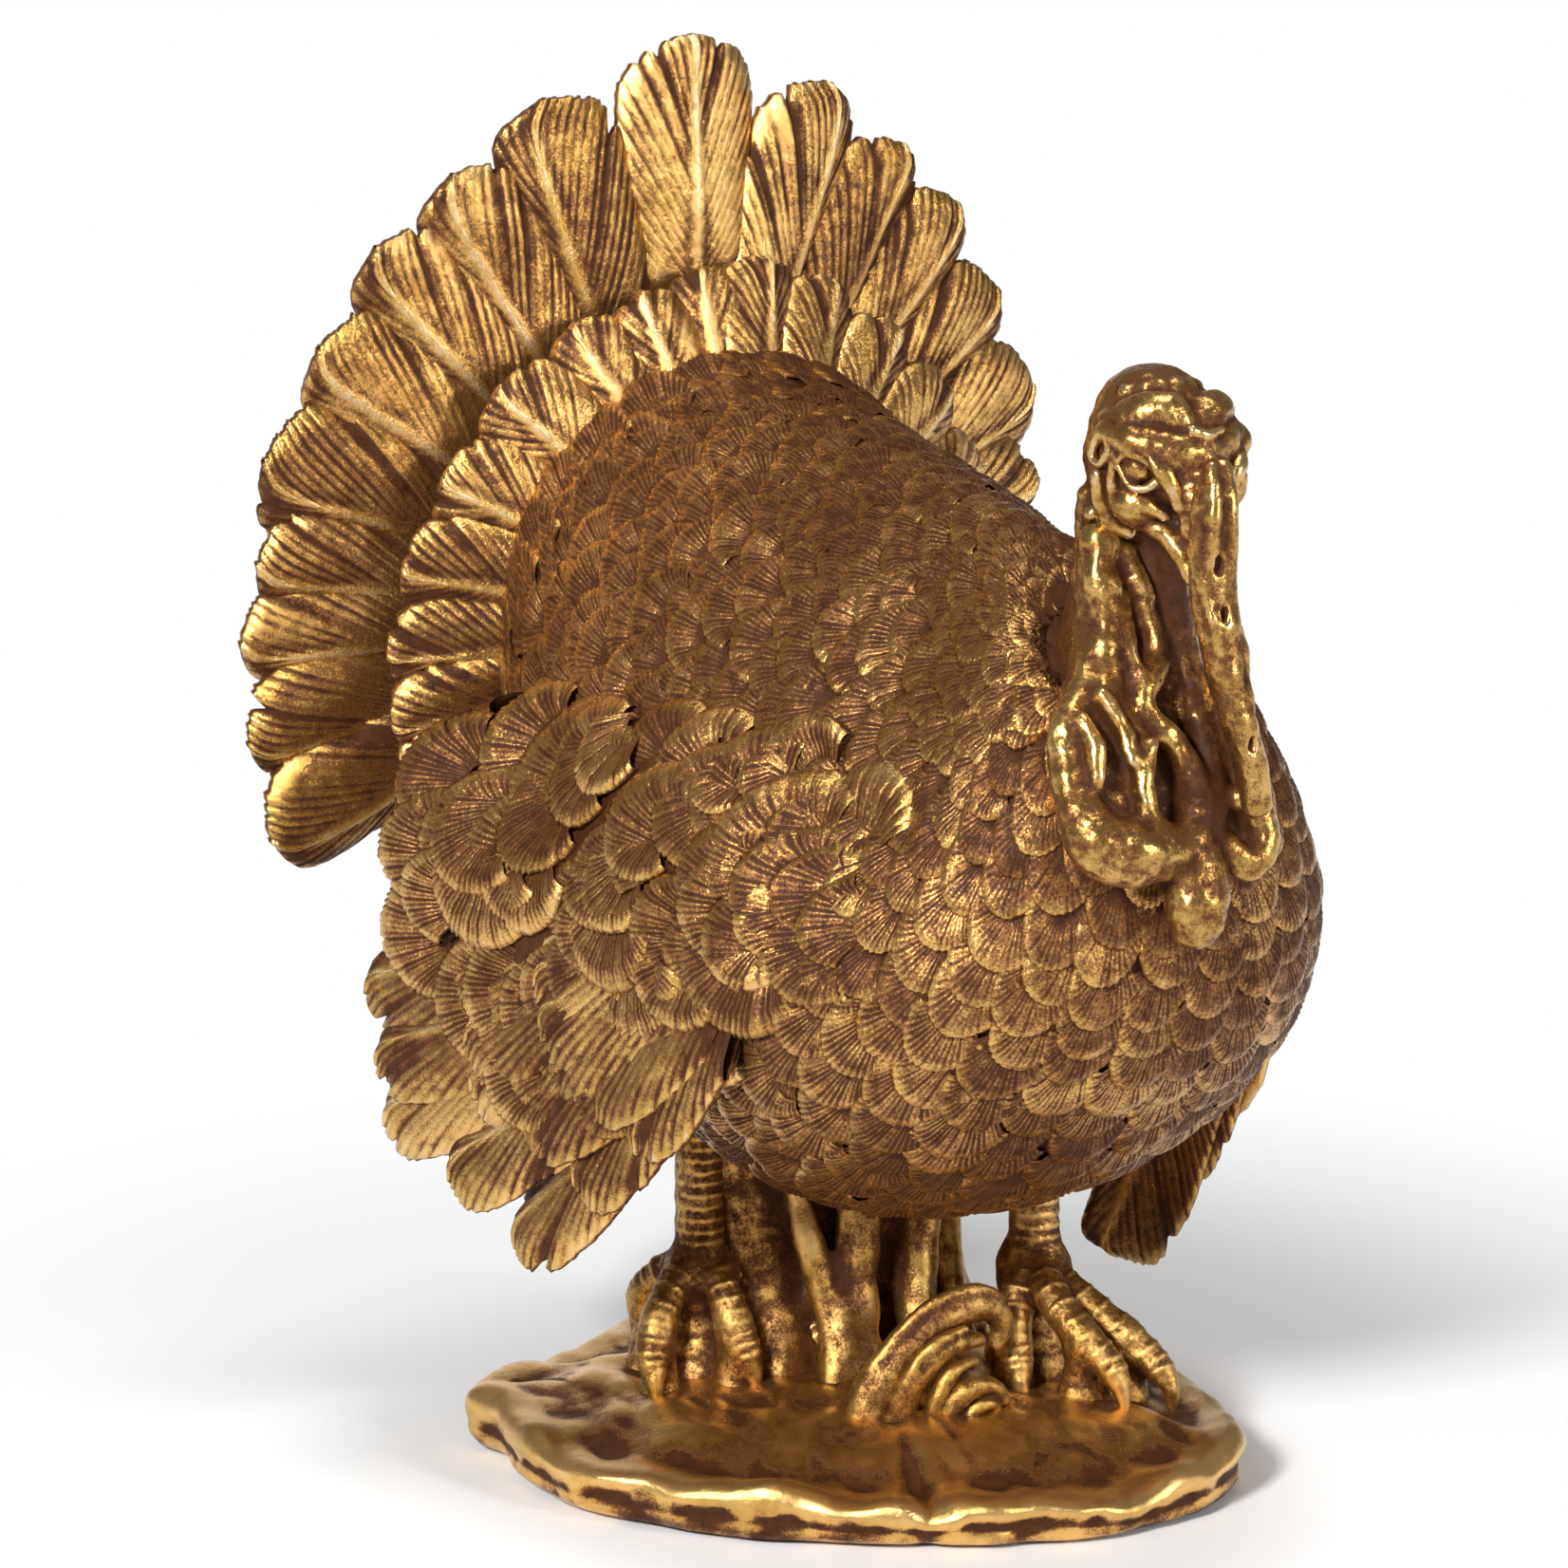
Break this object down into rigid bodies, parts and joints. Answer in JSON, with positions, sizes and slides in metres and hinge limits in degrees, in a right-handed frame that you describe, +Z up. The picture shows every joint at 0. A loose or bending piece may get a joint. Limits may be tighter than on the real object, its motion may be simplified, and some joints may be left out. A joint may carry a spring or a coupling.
{
  "type": "thanksgiving turkey figure",
  "caption": "Strutting tom turkey figure in gilt cast resin, tail fanned and wings lowered, standing on a rocky ground with a trunk under its belly.",
  "frame": {"origin": "on the resting face of the felt, under the trunk's foot and on the bird's own middle plane", "axes": "+Z up, -Y the way the bird faces, -X its right side, which is the near side in the picture"},
  "size_m": [0.2142, 0.2295, 0.304],
  "materials": {
    "gilt_resin": "antique gold metallic paint over cast resin, bright on the raised edges and worn to brown in the grooves",
    "dark_gilt_resin": "darker antique gold over cast resin, rubbed with brown patina",
    "steel_rod": "drawn steel rod, hidden inside",
    "felt": "dark brown felt, matte"
  },
  "bodies": {
    "root": {"ground": "dark_gilt_resin", "ground_felt": "felt", "trunk": "dark_gilt_resin", "body": "gilt_resin", "tail_fan": "gilt_resin", "tail_coverts": "gilt_resin", "head_and_neck": "gilt_resin", "snood": "gilt_resin", "wattle": "gilt_resin", "right_leg": "dark_gilt_resin", "right_leg_rod": "steel_rod", "left_leg": "dark_gilt_resin", "left_leg_rod": "steel_rod", "right_wing": "gilt_resin", "left_wing": "gilt_resin", "ground_leaf_1": "dark_gilt_resin", "ground_leaf_2": "dark_gilt_resin", "ground_leaf_3": "dark_gilt_resin"}
  },
  "joints": []
}
